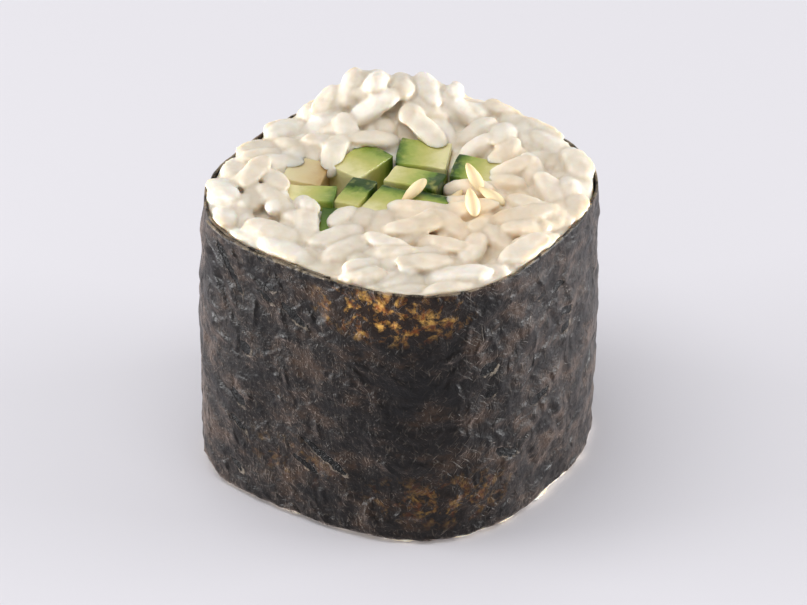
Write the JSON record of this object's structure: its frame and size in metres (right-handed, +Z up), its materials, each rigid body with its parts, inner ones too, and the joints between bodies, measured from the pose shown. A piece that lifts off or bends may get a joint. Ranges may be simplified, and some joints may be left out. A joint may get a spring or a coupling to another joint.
{
  "type": "cucumber maki roll piece",
  "caption": "Upright piece of a cucumber maki roll: sticky rice and a bundle of cucumber batons wrapped in nori, with sesame seeds on the cut face.",
  "frame": {"origin": "on the table, under the middle of the standing piece's box", "axes": "+Z up along the roll's own axis, out of the top cut face; -Y is the front, +X to the right seen from the front"},
  "size_m": [0.0428, 0.0426, 0.0354],
  "materials": {
    "nori": "roasted nori, a thin seaweed sheet, damp from the rice, faintly glossy and puckered",
    "rice": "cooked short-grain rice, moist and sticky, with sesame seeds on its top",
    "cucumber": "fresh-cut cucumber flesh, wet, pale at the seeds and green at the peel",
    "cucumber_core": "soft cucumber core, beige and wet",
    "cucumber_peel": "cucumber peel, dark green and smooth"
  },
  "bodies": {
    "root": {"nori_wrap": "nori", "rice": "rice", "cucumber_baton_1": "cucumber", "cucumber_baton_2": "cucumber", "cucumber_baton_3": "cucumber", "cucumber_baton_4": "cucumber", "cucumber_baton_5": "cucumber", "cucumber_baton_6": "cucumber", "cucumber_baton_7": "cucumber", "cucumber_baton_8": "cucumber", "cucumber_core_baton": "cucumber_core", "cucumber_peel_shred": "cucumber_peel"}
  },
  "joints": []
}
